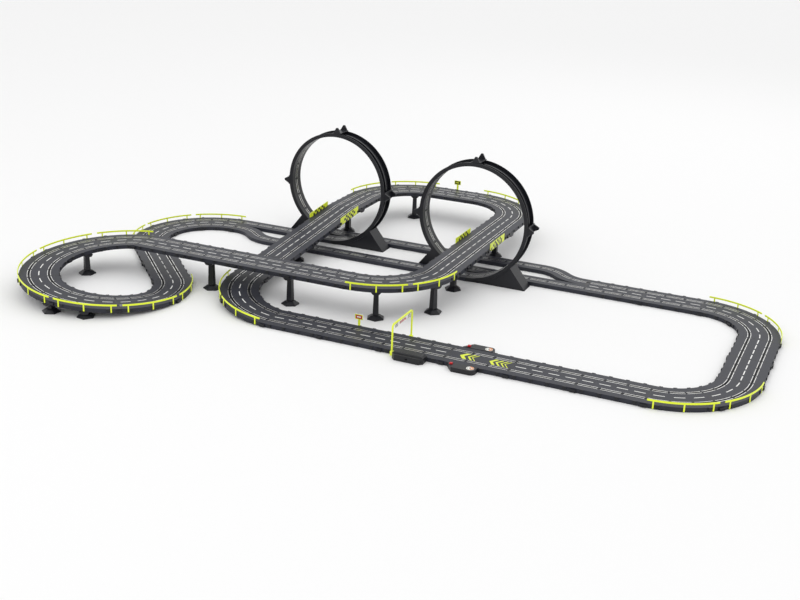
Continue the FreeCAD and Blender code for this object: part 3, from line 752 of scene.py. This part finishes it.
def dialBand(name, centre, top):
    # half of the number ring is printed orange
    corners = ((band["inner"], top - inkSunk), (band["outer"], top - inkSunk),
               (band["outer"], top + band["proud"]), (band["inner"], top + band["proud"]))
    mesh = bmesh.new()
    rings = []
    for step in range(band["steps"] + 1):
        angle = math.pi * step / band["steps"] + band["start"]
        way = Vector((math.sin(angle), math.cos(angle), 0))
        rings.append([mesh.verts.new(Vector((centre.x, centre.y, height)) + way * radius)
                      for radius, height in corners])
    joinRings(mesh, rings)
    finishMesh(name + "_dial_band", mesh, [orangeInk], name + "_lap_dial_body")


for name in ("near", "far"):
    low, high = (Vector(corner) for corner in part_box(name + "_lap_dial"))
    centre = (low + high) / 2
    ringTop = high.z - numerals["hub"]
    dialBand(name, centre, ringTop)
    for number in range(numerals["count"]):
        text = bpy.data.curves.new(name + "_numeral_" + str(number), "FONT")
        text.body = str(number)
        text.size = numerals["size"]
        text.align_x = "CENTER"
        text.align_y = "CENTER"
        text.extrude = numerals["proud"]
        piece = bpy.data.objects.new(text.name, text)
        angle = 2 * math.pi * number / numerals["count"]
        piece.location = (centre.x + numerals["ring"] * math.sin(angle),
                          centre.y + numerals["ring"] * math.cos(angle), ringTop + numerals["proud"])
        piece.rotation_euler = (0, 0, -angle)
        text.materials.append(blackInk)
        bpy.context.scene.collection.objects.link(piece)
        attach(piece, name + "_lap_dial_body")
print("dials numbered")


# floor, light and camera

# Seamless paper: a matt pulp surface that shows only soft shadows. The room is a white box.
floorLook = {"size": 40.0, "colour": "#f5f5f5", "fibreMm": 12, "below": 0.0002}
material, tree = emptyMaterial("paperFloor")
place = addNode(tree, "ShaderNodeTexCoord").outputs["Object"]
fibres = addNode(tree, "ShaderNodeTexNoise", None, {"Scale": perMm(floorLook["fibreMm"]), "Detail": 4.0},
                 {"Vector": place})
fibreBump = addNode(tree, "ShaderNodeBump", None, {"Strength": 0.05, "Distance": 0.0002},
                    {"Height": fibres.outputs["Fac"]})
paper = addNode(tree, "ShaderNodeBsdfPrincipled", None,
                {"Base Color": hexColour(floorLook["colour"]), "Roughness": 0.9,
                 "Specular IOR Level": 0.2},
                {"Normal": fibreBump.outputs["Normal"]})
addNode(tree, "ShaderNodeOutputMaterial", None, None, {"Surface": paper.outputs["BSDF"]})
mesh = bmesh.new()
bmesh.ops.create_grid(mesh, x_segments=1, y_segments=1, size=floorLook["size"])
floorData = bpy.data.meshes.new("floor")
mesh.to_mesh(floorData)
mesh.free()
floorData.materials.append(material)
floor = bpy.data.objects.new("floor", floorData)
floor.location.z = -floorLook["below"]
bpy.context.scene.collection.objects.link(floor)

roomLook = {"light": 0.99, "seen": 1.0}
world = bpy.data.worlds.new("softWhiteRoom")
bpy.context.scene.world = world
world.use_nodes = True
world.node_tree.nodes.clear()
tree = world.node_tree
path = addNode(tree, "ShaderNodeLightPath")
seen = addNode(tree, "ShaderNodeMath", {"operation": "MAXIMUM"}, None,
               {0: path.outputs["Is Camera Ray"], 1: path.outputs["Is Glossy Ray"]})
seen = addNode(tree, "ShaderNodeMath", {"operation": "MAXIMUM"}, None,
               {0: seen.outputs["Value"], 1: path.outputs["Is Transmission Ray"]})
room = addNode(tree, "ShaderNodeBackground", None,
               {"Color": hexColour("#ffffff"), "Strength": roomLook["light"]})
backdrop = addNode(tree, "ShaderNodeBackground", None,
                   {"Color": hexColour("#ffffff"), "Strength": roomLook["seen"]})
mixed = addNode(tree, "ShaderNodeMixShader", None, None,
                {0: seen.outputs["Value"], 1: room.outputs["Background"],
                 2: backdrop.outputs["Background"]})
addNode(tree, "ShaderNodeOutputWorld", None, None, {"Surface": mixed.outputs["Shader"]})

lamps = {"key": {"place": (-1.6, -2.6, 3.2), "size": 2.2, "watts": 12},
         "fill": {"place": (2.8, -1.2, 2.6), "size": 2.6, "watts": 5},
         "back": {"place": (0.4, 3.0, 2.8), "size": 2.6, "watts": 8}}
for name, lamp in lamps.items():
    data = bpy.data.lights.new(name + "Softbox", "AREA")
    data.energy = lamp["watts"]
    data.size = lamp["size"]
    piece = bpy.data.objects.new(name + "Softbox", data)
    piece.location = lamp["place"]
    piece.rotation_euler = (-Vector(lamp["place"])).to_track_quat("-Z", "Y").to_euler()
    bpy.context.scene.collection.objects.link(piece)

view = {"place": (1.3221, -3.2503, 1.2638), "yaw": -0.4074, "pitch": 0.3595, "roll": -0.0389,
        "lens": 53.86, "sensor": 36, "farthest": 120}
cameraData = bpy.data.cameras.new("camera")
cameraData.lens = view["lens"]
cameraData.sensor_width = view["sensor"]
cameraData.clip_end = view["farthest"]
camera = bpy.data.objects.new("camera", cameraData)
yaw, pitch = view["yaw"], view["pitch"]
forward = Vector((math.sin(yaw) * math.cos(pitch), math.cos(yaw) * math.cos(pitch), -math.sin(pitch)))
level = Vector((math.cos(yaw), -math.sin(yaw), 0))
right = level * math.cos(view["roll"]) - level.cross(forward) * math.sin(view["roll"])
camera.matrix_world = Matrix.Translation(view["place"]) @ Matrix(
    (right, right.cross(forward), -forward)).transposed().to_4x4()
bpy.context.scene.collection.objects.link(camera)
bpy.context.scene.camera = camera
bpy.context.scene.view_settings.view_transform = "Standard"
print("floor, lamps and camera set")
